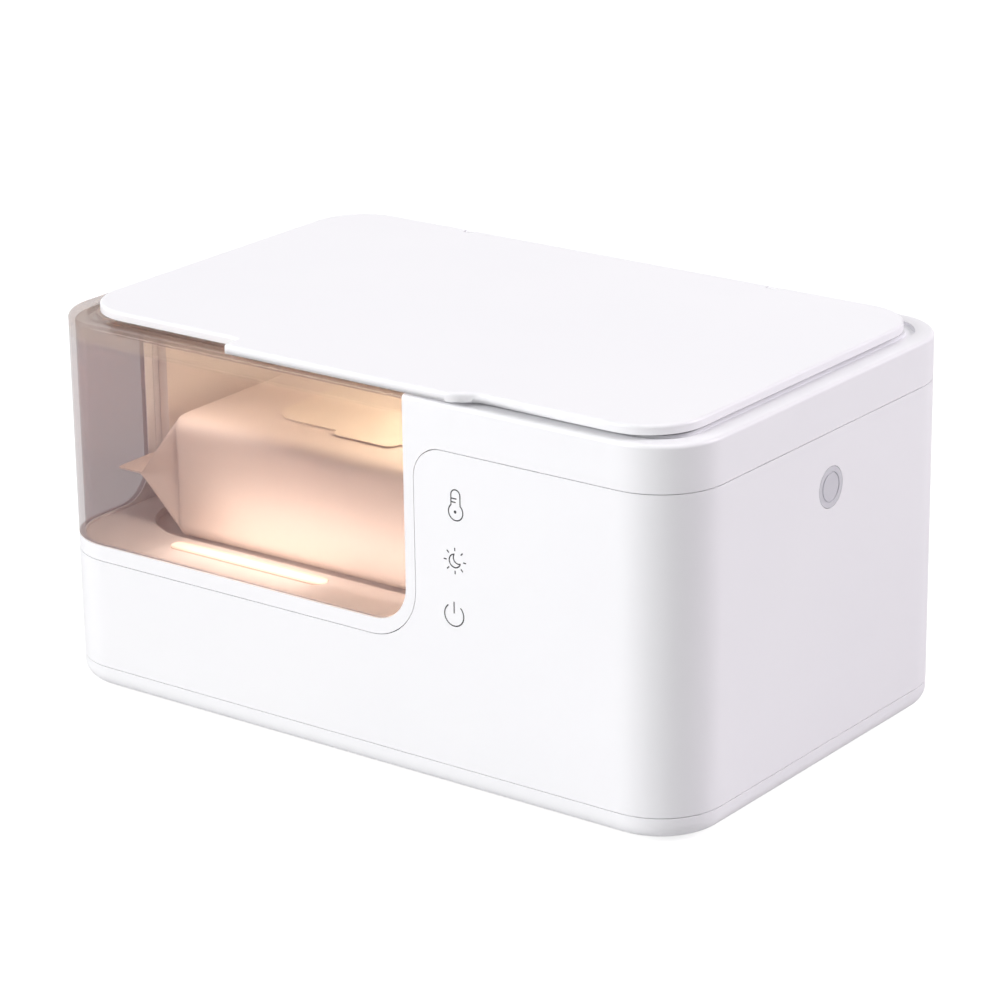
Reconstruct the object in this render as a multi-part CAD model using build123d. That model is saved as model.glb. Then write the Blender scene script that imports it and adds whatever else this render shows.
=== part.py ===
from build123d import *
import math
import os

os.makedirs("parts", exist_ok=True)

# ---------------------------------------------------------------- driving dimensions, millimetres
# The body is centred on the Z axis while it is drawn; +X is right, -Y is the front, +Z is up.
BODY_LENGTH = 285.0
BODY_DEPTH = 180.0
BODY_CORNER = 25.0
WALL = 2.5
SEAM_GAP = 0.3
FOOT_LIFT = 1.5
BASE_SEAM_Z = 10.0
BASE_EDGE_ROUND = 6.0
BODY_TOP_Z = 144.0
TOP_EDGE_ROUND = 1.5

# the corner window, and the border of the upper frame round it
WINDOW_BOTTOM_Z = 59.0
WINDOW_EDGE_X = 26.5
WINDOW_EDGE_Y = -37.0
WINDOW_ROUND = 14.0
WINDOW_GAP = 0.25
BORDER_SIDE = 4.5
BORDER_BELOW = 6.2
BORDER_ROUND = 20.0
BAND_HEIGHT = 17.0
BAND_ROUND = 12.0

# deck round the chamber mouth
MOUTH_INSET = 17.0
DECK_THICKNESS = 2.5
COLLAR_WIDTH = 1.8
COLLAR_RISE = 0.7
SKIRT_DROP = 8.0
CHANNEL_INSET = 7.0
CHANNEL_WIDTH = 3.5
CHANNEL_DEPTH = 1.4

# locating lips that overlap inside the seams
LIP_THICKNESS = 1.5
LIP_REACH = 5.0
LIP_ROOT = 4.0
FIT_GAP = 0.2

# lid
LID_GAP = 1.6
LID_THICKNESS = 3.4
LID_SKIN = 1.5
LID_RIM = 6.0
LID_CORNER = 22.0
LID_FRONT_INSET = 3.5
LID_LEFT_SET_BACK = 3.5
LID_REAR_INSET = 10.5
LID_RIGHT_INSET = 8.0
LID_LEFT_INSET = 11.5
LID_EDGE_ROUND = 1.2
TAB_OVERHANG = 2.0
TAB_LEFT_X = -52.0
TAB_RIGHT_X = 46.0
TAB_BLEND_LENGTH = 14.0
TAB_CORNER = 1.6
PLUG_CLEARANCE = 1.7
PLUG_THICKNESS = 2.0
PLUG_DROP = 6.8
GASKET_CLEARANCE = 0.5
GASKET_HEIGHT = 2.0

# hinge
HINGE_INSET = 72.5
PIN_RADIUS = 0.8
PIN_LENGTH = 16.0
PIN_RUNNING_GAP = 0.05
EAR_WIDTH = 4.0
EAR_SIDE_GAP = 0.3
EAR_SWEEP_GAP = 0.5

# chamber: a ledge with a sunk pan, and a wall that stands on it where there is no window
LEDGE_BELOW_WINDOW = 1.0
CHAMBER_THICKNESS = 2.0
CHAMBER_FRONT_INSET = 10.0
CHAMBER_SIDE_INSET = 5.0
CHAMBER_WINDOW_GAP = 3.0
PAN_END_INSET = 13.5
PAN_SIDE_INSET = 26.0
PAN_CORNER = 28.0
PAN_DROP = 3.0

# heater stack under the pan
PLATE_MARGIN = 16.0
PLATE_THICKNESS = 1.5
FILM_MARGIN = 20.0
FILM_THICKNESS = 0.6
PAD_THICKNESS = 4.0
SENSOR_WELL_RADIUS = 8.0
SENSOR_WELL_X = 45.0
THERMOSTAT_RADIUS = 7.0
THERMOSTAT_HEIGHT = 6.0
THERMOSTAT_LUG_WIDTH = 3.0
THERMOSTAT_LUG_THICKNESS = 0.8
THERMISTOR_RADIUS = 3.0
THERMISTOR_HEIGHT = 4.5
BRACKET_THICKNESS = 1.2
BRACKET_END_INSET = 29.5
BRACKET_SIDE_INSET = 8.0
BRACKET_CORNER = 12.0
BRACKET_SCREW_INSET = 7.0

# light bar in the front ledge
LIGHT_LEFT_INSET = 44.5
LIGHT_RIGHT_INSET = 51.5
LIGHT_FRONT_INSET = 18.5
LIGHT_WIDTH = 8.0
LIGHT_PROUD = 0.3
LIGHT_WALL = 1.4
LIGHT_TOP_SKIN = 2.6
LED_COUNT = 6
LED_SIZE = 3.0
LED_HEIGHT = 1.5
BOARD_THICKNESS = 1.6

# touch controls behind the front wall
TOUCH_BESIDE_BORDER = 18.0
TOUCH_BELOW_BAND = 19.0
TOUCH_ABOVE_LEDGE = 10.0
TOUCH_COUNT = 3
TOUCH_SPRING_RADIUS = 4.0
TOUCH_SPRING_WALL = 0.8
TOUCH_BOARD_WIDTH = 24.0
TOUCH_BOARD_MARGIN = 8.0
TOUCH_BOARD_GAP = 0.6

# screw posts, screws and feet
POST_END_INSET = 14.5
POST_SIDE_INSET = 14.0
POST_RADIUS = 4.0
RIB_THICKNESS = 1.5
SCREW_RADIUS = 1.25
SCREW_HEAD_RADIUS = 3.0
SCREW_HEAD_HEIGHT = 1.8
SCREW_LENGTH = 14.0
PILOT_GAP = 0.05
SHANK_GAP = 0.35
FOOT_END_INSET = 26.5
FOOT_SIDE_INSET = 30.0
FOOT_RADIUS = 8.0
FOOT_EDGE = 0.5
FOOT_PLUG_RADIUS = 5.0
FOOT_PLUG_HEIGHT = 1.2

# vents in the base
VENT_COUNT = 9
VENT_PITCH = 7.0
VENT_LENGTH = 30.0
VENT_WIDTH = 2.4

# main board and what is on it
MAIN_BOARD_LENGTH = 110.0
MAIN_BOARD_DEPTH = 70.0
MAIN_BOARD_X = 30.0
MAIN_BOARD_Y = 18.0
STANDOFF_HEIGHT = 6.0
STANDOFF_RADIUS = 3.0
STANDOFF_MARGIN = 5.0
# each box on the board: place from the board's centre in x and y, then length, depth and height
TRANSFORMER = (25.0, 0.0, 24.0, 22.0, 18.0)
RELAY = (-5.0, 18.0, 19.0, 15.0, 15.0)
CONTROLLER = (-30.0, 0.0, 12.0, 12.0, 2.0)
CONNECTOR = (-8.0, -26.0, 22.0, 7.0, 8.0)
CAPACITOR_COUNT = 2
CAPACITOR_PITCH = 14.0
CAPACITOR_X = -6.0
CAPACITOR_Y = -8.0
CAPACITOR_RADIUS = 5.0
CAPACITOR_HEIGHT = 20.0

# power inlet in the rear wall
INLET_END_INSET = 47.5
INLET_Z = 28.0
INLET_RADIUS = 5.5
INLET_BORE_RADIUS = 2.8
INLET_BORE_DEPTH = 10.0
INLET_PIN_RADIUS = 1.0
INLET_BODY_WIDTH = 14.0
INLET_BODY_HEIGHT = 13.0
INLET_BODY_DEPTH = 13.0

# round insert in the right wall
INSERT_Y = 3.2
INSERT_BELOW_BAND = 20.6
INSERT_RADIUS = 7.5
INSERT_THICKNESS = 1.0
INSERT_GROOVE_RADIUS = 5.6
INSERT_GROOVE_WIDTH = 0.6
INSERT_GROOVE_DEPTH = 0.4

# pack of wipes
PACK_TIP_GAP = 1.0
PACK_RIGHT_INSET = 47.5
PACK_FRONT_INSET = 28.5
PACK_REAR_INSET = 39.5
PACK_HEIGHT = 49.0
PACK_ROUND = 6.0
PACK_FIN_LENGTH = 12.5
PACK_GUSSET_LENGTH = 17.5
PACK_FIN_THICKNESS = 1.0
PACK_SEAT_GAP = 0.3
LABEL_OFFSET_X = -5.0
LABEL_END_MARGIN = 33.5
LABEL_SIDE_MARGIN = 21.5
LABEL_CORNER = 12.0
LABEL_THICKNESS = 0.6

# ---------------------------------------------------------------- sizes worked out from those above
HALF_LENGTH = BODY_LENGTH / 2
HALF_DEPTH = BODY_DEPTH / 2
FRONT_Y = -HALF_DEPTH
BASE_FLOOR_Z = FOOT_LIFT + WALL
BAND_SEAM_Z = BODY_TOP_Z - BAND_HEIGHT
STEP_SEAM_Z = WINDOW_BOTTOM_Z - BORDER_BELOW
STEP_SEAM_X = WINDOW_EDGE_X + BORDER_SIDE
STEP_SEAM_Y = WINDOW_EDGE_Y + BORDER_SIDE
DECK_UNDER_Z = BODY_TOP_Z - DECK_THICKNESS
COLLAR_TOP_Z = BODY_TOP_Z + COLLAR_RISE
LID_BOTTOM_Z = BODY_TOP_Z + LID_GAP
LID_TOP_Z = LID_BOTTOM_Z + LID_THICKNESS
LID_FRONT_Y = FRONT_Y + LID_FRONT_INSET
LID_LEFT_FRONT_Y = LID_FRONT_Y + LID_LEFT_SET_BACK
LID_REAR_Y = HALF_DEPTH - LID_REAR_INSET
LID_LEFT_X = -HALF_LENGTH + LID_LEFT_INSET
LID_RIGHT_X = HALF_LENGTH - LID_RIGHT_INSET
TAB_FRONT_Y = FRONT_Y - TAB_OVERHANG
HINGE_X = HALF_LENGTH - HINGE_INSET
HINGE_Y = LID_REAR_Y - LID_THICKNESS / 2
HINGE_Z = LID_BOTTOM_Z + LID_THICKNESS / 2
LEDGE_Z = WINDOW_BOTTOM_Z - LEDGE_BELOW_WINDOW
LEDGE_UNDER_Z = LEDGE_Z - CHAMBER_THICKNESS
PAN_LENGTH = BODY_LENGTH - 2 * PAN_END_INSET
PAN_DEPTH = BODY_DEPTH - 2 * PAN_SIDE_INSET
PAN_FLOOR_Z = LEDGE_Z - PAN_DROP
PAN_UNDER_Z = PAN_FLOOR_Z - CHAMBER_THICKNESS
CHAMBER_WALL_LOW_Z = LEDGE_Z + FIT_GAP
CHAMBER_WALL_TOP_Z = DECK_UNDER_Z - SEAM_GAP
PLATE_TOP_Z = PAN_UNDER_Z - FIT_GAP
FILM_TOP_Z = PLATE_TOP_Z - PLATE_THICKNESS
PAD_TOP_Z = FILM_TOP_Z - FILM_THICKNESS
BRACKET_TOP_Z = PAD_TOP_Z - PAD_THICKNESS
BRACKET_UNDER_Z = BRACKET_TOP_Z - BRACKET_THICKNESS
BRACKET_SCREW_X = HALF_LENGTH - BRACKET_END_INSET - BRACKET_SCREW_INSET
BRACKET_SCREW_Y = HALF_DEPTH - BRACKET_SIDE_INSET - BRACKET_SCREW_INSET
LIGHT_BOARD_Z = BRACKET_TOP_Z + FIT_GAP
LIGHT_BOARD_TOP_Z = LIGHT_BOARD_Z + BOARD_THICKNESS
LIGHT_LEFT_X = -HALF_LENGTH + LIGHT_LEFT_INSET
LIGHT_RIGHT_X = WINDOW_EDGE_X - LIGHT_RIGHT_INSET
LIGHT_LENGTH = LIGHT_RIGHT_X - LIGHT_LEFT_X
LIGHT_X = (LIGHT_LEFT_X + LIGHT_RIGHT_X) / 2
LIGHT_Y = FRONT_Y + LIGHT_FRONT_INSET
TOUCH_X = STEP_SEAM_X + TOUCH_BESIDE_BORDER
TOUCH_TOP_Z = BAND_SEAM_Z - TOUCH_BELOW_BAND
TOUCH_PITCH = (TOUCH_TOP_Z - LEDGE_Z - TOUCH_ABOVE_LEDGE) / (TOUCH_COUNT - 1)
TOUCH_HEIGHTS = [TOUCH_TOP_Z - number * TOUCH_PITCH for number in range(TOUCH_COUNT)]
TOUCH_BOARD_Y = FRONT_Y + CHAMBER_FRONT_INSET - TOUCH_BOARD_GAP
POST_X = HALF_LENGTH - POST_END_INSET
POST_Y = HALF_DEPTH - POST_SIDE_INSET
FOOT_X = HALF_LENGTH - FOOT_END_INSET
FOOT_Y = HALF_DEPTH - FOOT_SIDE_INSET
INLET_X = HALF_LENGTH - INLET_END_INSET
INSERT_Z = BAND_SEAM_Z - INSERT_BELOW_BAND
CHAMBER_INNER_X = HALF_LENGTH - CHAMBER_SIDE_INSET - CHAMBER_THICKNESS
PACK_TIP_X = -CHAMBER_INNER_X + PACK_TIP_GAP
PACK_LEFT_X = PACK_TIP_X + PACK_FIN_LENGTH + PACK_GUSSET_LENGTH
PACK_RIGHT_X = HALF_LENGTH - PACK_RIGHT_INSET
PACK_FRONT_Y = FRONT_Y + PACK_FRONT_INSET
PACK_DEPTH = BODY_DEPTH - PACK_FRONT_INSET - PACK_REAR_INSET
PACK_BOTTOM_Z = PAN_FLOOR_Z + PACK_SEAT_GAP
PACK_TOP_Z = PACK_BOTTOM_Z + PACK_HEIGHT
PACK_X = (PACK_LEFT_X + PACK_RIGHT_X) / 2
PACK_Y = PACK_FRONT_Y + PACK_DEPTH / 2
LABEL_LENGTH = PACK_RIGHT_X - PACK_LEFT_X - 2 * LABEL_END_MARGIN
LABEL_DEPTH = PACK_DEPTH - 2 * LABEL_SIDE_MARGIN
SEAM_LIP_BOTTOM_Z = BAND_SEAM_Z - LIP_REACH
REACH = BODY_LENGTH + BODY_DEPTH
BODY_SHIFT_Y = TAB_OVERHANG / 2
LOW_ALIGN = (Align.CENTER, Align.CENTER, Align.MIN)


# ---------------------------------------------------------------- shared shapes
def block(low_x, high_x, low_y, high_y, low_z, high_z):
    size = (high_x - low_x, high_y - low_y, high_z - low_z)
    middle = ((low_x + high_x) / 2, (low_y + high_y) / 2, (low_z + high_z) / 2)
    return Pos(*middle) * Box(*size)


def upright(radius, x, y, low_z, high_z):
    return Pos(x, y, low_z) * Cylinder(radius, high_z - low_z, align=LOW_ALIGN)


def along_y(radius, x, z, low_y, high_y):
    disc = Plane.XZ.offset(-high_y) * Pos(x, z) * Circle(radius)
    return extrude(disc, amount=high_y - low_y)


def along_x(radius, y, z, low_x, high_x):
    disc = Plane.YZ.offset(low_x) * Pos(y, z) * Circle(radius)
    return extrude(disc, amount=high_x - low_x)


def body_prism(inset, low_z, high_z):
    outline = RectangleRounded(BODY_LENGTH - 2 * inset, BODY_DEPTH - 2 * inset, BODY_CORNER - inset)
    return Pos(0, 0, low_z) * extrude(outline, amount=high_z - low_z)


def body_ring(outer_inset, inner_inset, low_z, high_z):
    return body_prism(outer_inset, low_z, high_z) - body_prism(inner_inset, low_z, high_z)


def rounded_slab(length, depth, corner, x, y, low_z, high_z):
    return Pos(x, y, low_z) * extrude(RectangleRounded(length, depth, corner), amount=high_z - low_z)


def four_corners(x, y):
    return [(side_x * x, side_y * y) for side_x in (-1, 1) for side_y in (-1, 1)]


def round_corner_near(sketch, u, v, radius):
    corner = sketch.vertices().sort_by_distance((u, v, 0))[0]
    return fillet(corner, radius)


def step_profile(edge, bottom, step_round):
    """Everything left of the edge and above the bottom, with the lower corner rounded."""
    width = REACH
    height = REACH
    sketch = Pos(edge - width / 2, bottom + height / 2) * Rectangle(width, height)
    return round_corner_near(sketch, edge, bottom, step_round)


def band_profile(edge, bottom, step_round, band_z, band_round):
    """The step profile joined to the band above it, with the inside corner rounded too."""
    band = Pos(0, band_z + REACH / 2) * Rectangle(3 * REACH, REACH)
    sketch = step_profile(edge, bottom, step_round) + band
    return round_corner_near(sketch, edge, band_z, band_round)


def sweep_round_corner(front_profile, side_profile):
    """Carry one profile through the front wall and the other through the left wall."""
    front_depth = HALF_DEPTH - BODY_CORNER - WALL
    side_depth = HALF_LENGTH - BODY_CORNER - WALL
    front = extrude(Plane.XZ.offset(front_depth) * front_profile, amount=REACH)
    side = extrude(Plane.YZ.offset(-side_depth) * side_profile, amount=-REACH)
    return front + side


def upper_region(gap=0.0):
    """The space that the upper frame and the window fill, grown by a gap."""
    bottom = STEP_SEAM_Z - gap
    band_z = BAND_SEAM_Z - gap
    front = band_profile(STEP_SEAM_X + gap, bottom, BORDER_ROUND + gap, band_z, BAND_ROUND - gap)
    side = band_profile(STEP_SEAM_Y + gap, bottom, BORDER_ROUND + gap, band_z, BAND_ROUND - gap)
    band = block(-REACH, REACH, -REACH, REACH, band_z, band_z + REACH)
    return sweep_round_corner(front, side) + band


def corner_region(edge_x, edge_y, bottom, corner_round):
    front = step_profile(edge_x, bottom, corner_round)
    side = step_profile(edge_y, bottom, corner_round)
    return sweep_round_corner(front, side)


def window_region(gap=0.0):
    return corner_region(WINDOW_EDGE_X + gap, WINDOW_EDGE_Y + gap,
                         WINDOW_BOTTOM_Z - gap, WINDOW_ROUND + gap)


def screw(x, y, head_z):
    """A screw that points up, its head at the bottom."""
    head = upright(SCREW_HEAD_RADIUS, x, y, head_z, head_z + SCREW_HEAD_HEIGHT)
    shank = upright(SCREW_RADIUS, x, y, head_z, head_z + SCREW_LENGTH)
    return head + shank


# ---------------------------------------------------------------- outer shells
def make_base_cover():
    tray = body_prism(0, FOOT_LIFT, BASE_SEAM_Z)
    tray = fillet(tray.faces().sort_by(Axis.Z)[0].edges(), BASE_EDGE_ROUND)
    hollow_inset = WALL + LIP_THICKNESS + FIT_GAP
    tray -= body_prism(hollow_inset, BASE_FLOOR_Z, BASE_SEAM_Z)
    tray += body_ring(WALL + FIT_GAP, hollow_inset, BASE_SEAM_Z - LIP_THICKNESS, BASE_SEAM_Z + LIP_REACH)
    for x, y in four_corners(POST_X, POST_Y):
        tray += upright(POST_RADIUS, x, y, BASE_FLOOR_Z, BASE_SEAM_Z)
        tray -= upright(SCREW_RADIUS + SHANK_GAP, x, y, FOOT_LIFT, BASE_SEAM_Z)
        recess_top = FOOT_LIFT + SCREW_HEAD_HEIGHT + FIT_GAP
        tray -= upright(SCREW_HEAD_RADIUS + FIT_GAP, x, y, FOOT_LIFT, recess_top)
    for x, y in four_corners(FOOT_X, FOOT_Y):
        tray -= upright(FOOT_PLUG_RADIUS + FIT_GAP, x, y, FOOT_LIFT, FOOT_LIFT + FOOT_PLUG_HEIGHT + FIT_GAP)
    for x, y in four_corners(MAIN_BOARD_LENGTH / 2 - STANDOFF_MARGIN, MAIN_BOARD_DEPTH / 2 - STANDOFF_MARGIN):
        standoff_top = BASE_FLOOR_Z + STANDOFF_HEIGHT
        tray += upright(STANDOFF_RADIUS, MAIN_BOARD_X + x, MAIN_BOARD_Y + y, BASE_FLOOR_Z, standoff_top)
    for side in (-1, 1):
        for number in range(VENT_COUNT):
            x = (number - (VENT_COUNT - 1) / 2) * VENT_PITCH
            vent_x = x - VENT_COUNT * VENT_PITCH / 2
            vent_y = side * (HALF_DEPTH - BODY_CORNER - VENT_LENGTH / 2)
            tray -= Pos(vent_x, vent_y, FOOT_LIFT) * Box(VENT_WIDTH, VENT_LENGTH, 2 * WALL)
    return tray


def make_lower_housing():
    housing = body_ring(0, WALL, BASE_SEAM_Z + SEAM_GAP, BODY_TOP_Z) - upper_region(SEAM_GAP)
    post_low = BASE_SEAM_Z + FIT_GAP
    post_high = LEDGE_UNDER_Z - FIT_GAP
    rib_low = BASE_SEAM_Z + LIP_REACH + FIT_GAP
    rib_high = STEP_SEAM_Z - WALL
    half_rib = RIB_THICKNESS / 2
    inside = body_prism(WALL / 2, post_low, post_high)
    for x, y in four_corners(POST_X, POST_Y):
        post = upright(POST_RADIUS, x, y, post_low, post_high)
        far_x = math.copysign(HALF_LENGTH, x)
        far_y = math.copysign(HALF_DEPTH, y)
        rib_x = block(min(x, far_x), max(x, far_x), y - half_rib, y + half_rib, rib_low, rib_high)
        rib_y = block(x - half_rib, x + half_rib, min(y, far_y), max(y, far_y), rib_low, rib_high)
        housing += (post + rib_x + rib_y) & inside
        housing -= upright(SCREW_RADIUS + PILOT_GAP, x, y, post_low, FOOT_LIFT + SCREW_LENGTH + WALL)
    housing -= along_y(INLET_RADIUS + FIT_GAP, INLET_X, INLET_Z, HALF_DEPTH - 2 * WALL, REACH)
    insert_seat = HALF_LENGTH - INSERT_THICKNESS - FIT_GAP
    housing -= along_x(INSERT_RADIUS + FIT_GAP, INSERT_Y, INSERT_Z, insert_seat, REACH)
    return housing


def make_upper_shell():
    """Wall, deck, collar and mouth skirt all round, before the window is cut out of it."""
    low_z = STEP_SEAM_Z - WALL
    shell = body_prism(0, low_z, BODY_TOP_Z)
    shell = fillet(shell.faces().sort_by(Axis.Z)[-1].edges(), TOP_EDGE_ROUND)
    shell -= body_prism(WALL, low_z, DECK_UNDER_Z)
    skirt_low = BODY_TOP_Z - SKIRT_DROP
    shell += body_prism(MOUTH_INSET - COLLAR_WIDTH, DECK_UNDER_Z, COLLAR_TOP_Z)
    shell += body_ring(MOUTH_INSET - COLLAR_WIDTH, MOUTH_INSET, skirt_low, DECK_UNDER_Z)
    shell -= body_prism(MOUTH_INSET, skirt_low, COLLAR_TOP_Z)
    channel_low = BODY_TOP_Z - CHANNEL_DEPTH
    shell -= body_ring(CHANNEL_INSET, CHANNEL_INSET + CHANNEL_WIDTH, channel_low, BODY_TOP_Z)
    return shell


def make_hinge_ears():
    ears = []
    for side in (-1, 1):
        low_x = side * HINGE_X - EAR_WIDTH / 2
        half = LID_THICKNESS / 2
        web = block(low_x, low_x + EAR_WIDTH, HINGE_Y - half, HINGE_Y + half, DECK_UNDER_Z, HINGE_Z)
        ears.append(web + along_x(half, HINGE_Y, HINGE_Z, low_x, low_x + EAR_WIDTH))
    return ears


def make_upper_frame(shell):
    frame = (shell & upper_region()) - window_region(WINDOW_GAP)
    lip_outer = WALL + FIT_GAP
    lip = body_ring(lip_outer, lip_outer + LIP_THICKNESS, SEAM_LIP_BOTTOM_Z, BAND_SEAM_Z + LIP_ROOT)
    lip += body_ring(WALL, lip_outer, BAND_SEAM_Z + FIT_GAP, BAND_SEAM_Z + LIP_ROOT)
    lip -= corner_region(STEP_SEAM_X + BAND_ROUND, STEP_SEAM_Y + BAND_ROUND, STEP_SEAM_Z, BORDER_ROUND)
    frame += lip
    for ear in make_hinge_ears():
        frame += ear
    for side in (-1, 1):
        frame -= along_x(PIN_RADIUS, HINGE_Y, HINGE_Z, side * HINGE_X - EAR_WIDTH, side * HINGE_X + EAR_WIDTH)
    return frame


def make_window(shell):
    return shell & window_region()


# ---------------------------------------------------------------- chamber and heater
def make_pan_tray():
    """The ledge, the pan sunk in it, the bosses for the heater bracket and the slot for the light bar."""
    ledge = body_prism(WALL + SEAM_GAP, LEDGE_UNDER_Z, LEDGE_Z)
    ledge -= rounded_slab(PAN_LENGTH, PAN_DEPTH, PAN_CORNER, 0, 0, LEDGE_UNDER_Z, LEDGE_Z)
    tub = rounded_slab(PAN_LENGTH + 2 * CHAMBER_THICKNESS, PAN_DEPTH + 2 * CHAMBER_THICKNESS,
                       PAN_CORNER + CHAMBER_THICKNESS, 0, 0, PAN_UNDER_Z, LEDGE_Z)
    tub -= rounded_slab(PAN_LENGTH, PAN_DEPTH, PAN_CORNER, 0, 0, PAN_FLOOR_Z, LEDGE_Z)
    tray = ledge + tub
    for x, y in four_corners(BRACKET_SCREW_X, BRACKET_SCREW_Y):
        tray += upright(POST_RADIUS, x, y, BRACKET_TOP_Z + FIT_GAP, LEDGE_UNDER_Z)
        tray -= upright(SCREW_RADIUS + PILOT_GAP, x, y, BRACKET_TOP_Z, LEDGE_UNDER_Z)
    slot = SlotOverall(LIGHT_LENGTH + 2 * FIT_GAP, LIGHT_WIDTH + 2 * FIT_GAP)
    return tray - Pos(LIGHT_X, LIGHT_Y, LEDGE_UNDER_Z) * extrude(slot, amount=CHAMBER_THICKNESS)


def chamber_prism(extra_inset):
    """The outline of the chamber wall: further from the front, where the touch board stands."""
    side = CHAMBER_SIDE_INSET + extra_inset
    front = CHAMBER_FRONT_INSET + extra_inset
    middle_y = (front - side) / 2
    return rounded_slab(BODY_LENGTH - 2 * side, BODY_DEPTH - side - front, BODY_CORNER - side,
                        0, middle_y, CHAMBER_WALL_LOW_Z, CHAMBER_WALL_TOP_Z)


def make_chamber_wall():
    """The wall behind, at the right and beside the window, with a return at each edge of the window."""
    wall = chamber_prism(0) - chamber_prism(CHAMBER_THICKNESS)
    edge_x = STEP_SEAM_X + CHAMBER_WINDOW_GAP
    edge_y = STEP_SEAM_Y + CHAMBER_WINDOW_GAP
    wall -= block(-REACH, edge_x, -REACH, edge_y, CHAMBER_WALL_LOW_Z, CHAMBER_WALL_TOP_Z)
    near_wall = WALL + SEAM_GAP
    front_return = block(edge_x, edge_x + CHAMBER_THICKNESS,
                         FRONT_Y + near_wall, FRONT_Y + CHAMBER_FRONT_INSET + CHAMBER_THICKNESS,
                         CHAMBER_WALL_LOW_Z, CHAMBER_WALL_TOP_Z)
    side_return = block(-HALF_LENGTH + near_wall, -CHAMBER_INNER_X, edge_y, edge_y + CHAMBER_THICKNESS,
                        CHAMBER_WALL_LOW_Z, CHAMBER_WALL_TOP_Z)
    return wall + front_return + side_return


def make_heating_plate():
    return rounded_slab(PAN_LENGTH - 2 * PLATE_MARGIN, PAN_DEPTH - 2 * PLATE_MARGIN,
                        PAN_CORNER - PLATE_MARGIN, 0, 0, FILM_TOP_Z, PLATE_TOP_Z)


def make_heater_film():
    return rounded_slab(PAN_LENGTH - 2 * FILM_MARGIN, PAN_DEPTH - 2 * FILM_MARGIN,
                        PAN_CORNER - FILM_MARGIN, 0, 0, PAD_TOP_Z, FILM_TOP_Z)


def make_insulation_pad():
    pad = rounded_slab(PAN_LENGTH - 2 * PLATE_MARGIN, PAN_DEPTH - 2 * PLATE_MARGIN,
                       PAN_CORNER - PLATE_MARGIN, 0, 0, BRACKET_TOP_Z, PAD_TOP_Z)
    for side in (-1, 1):
        pad -= upright(SENSOR_WELL_RADIUS, side * SENSOR_WELL_X, 0, BRACKET_TOP_Z, PAD_TOP_Z)
    return pad


def make_heater_bracket():
    bracket = rounded_slab(BODY_LENGTH - 2 * BRACKET_END_INSET, BODY_DEPTH - 2 * BRACKET_SIDE_INSET,
                           BRACKET_CORNER, 0, 0, BRACKET_UNDER_Z, BRACKET_TOP_Z)
    for x, y in four_corners(BRACKET_SCREW_X, BRACKET_SCREW_Y):
        bracket -= upright(SCREW_RADIUS + SHANK_GAP, x, y, BRACKET_UNDER_Z, BRACKET_TOP_Z)
    for side in (-1, 1):
        bracket -= upright(SENSOR_WELL_RADIUS, side * SENSOR_WELL_X, 0, BRACKET_UNDER_Z, BRACKET_TOP_Z)
    return bracket


def make_light_diffuser():
    low_z = LIGHT_BOARD_TOP_Z + FIT_GAP
    outline = SlotOverall(LIGHT_LENGTH, LIGHT_WIDTH)
    bar = Pos(LIGHT_X, LIGHT_Y, low_z) * extrude(outline, amount=LEDGE_Z + LIGHT_PROUD - low_z)
    cavity = SlotOverall(LIGHT_LENGTH - 2 * LIGHT_WALL, LIGHT_WIDTH - 2 * LIGHT_WALL)
    bar -= Pos(LIGHT_X, LIGHT_Y, low_z) * extrude(cavity, amount=LEDGE_Z - LIGHT_TOP_SKIN - low_z)
    return bar


def make_light_board():
    half = LIGHT_LENGTH / 2 + LIGHT_WALL
    depth = LIGHT_WIDTH / 2 + LIGHT_WALL
    return block(LIGHT_X - half, LIGHT_X + half, LIGHT_Y - depth, LIGHT_Y + depth,
                 LIGHT_BOARD_Z, LIGHT_BOARD_TOP_Z)


def make_light_leds():
    leds = []
    pitch = LIGHT_LENGTH / LED_COUNT
    for number in range(LED_COUNT):
        x = LIGHT_LEFT_X + (number + 0.5) * pitch
        leds.append(Pos(x, LIGHT_Y, LIGHT_BOARD_TOP_Z) * Box(LED_SIZE, LED_SIZE, LED_HEIGHT, align=LOW_ALIGN))
    return Compound(leds)


# ---------------------------------------------------------------- electrics
def make_touch_springs():
    springs = []
    low_y = FRONT_Y + WALL + FIT_GAP
    high_y = TOUCH_BOARD_Y - BOARD_THICKNESS
    for z in TOUCH_HEIGHTS:
        coil = along_y(TOUCH_SPRING_RADIUS, TOUCH_X, z, low_y, high_y)
        coil -= along_y(TOUCH_SPRING_RADIUS - TOUCH_SPRING_WALL, TOUCH_X, z, low_y, high_y)
        springs.append(coil)
    return Compound(springs)


def make_touch_board():
    half = TOUCH_BOARD_WIDTH / 2
    return block(TOUCH_X - half, TOUCH_X + half, TOUCH_BOARD_Y - BOARD_THICKNESS, TOUCH_BOARD_Y,
                 min(TOUCH_HEIGHTS) - TOUCH_BOARD_MARGIN, max(TOUCH_HEIGHTS) + TOUCH_BOARD_MARGIN)


def make_main_board():
    low_z = BASE_FLOOR_Z + STANDOFF_HEIGHT
    return rounded_slab(MAIN_BOARD_LENGTH, MAIN_BOARD_DEPTH, STANDOFF_RADIUS, MAIN_BOARD_X, MAIN_BOARD_Y,
                        low_z, low_z + BOARD_THICKNESS)


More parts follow.
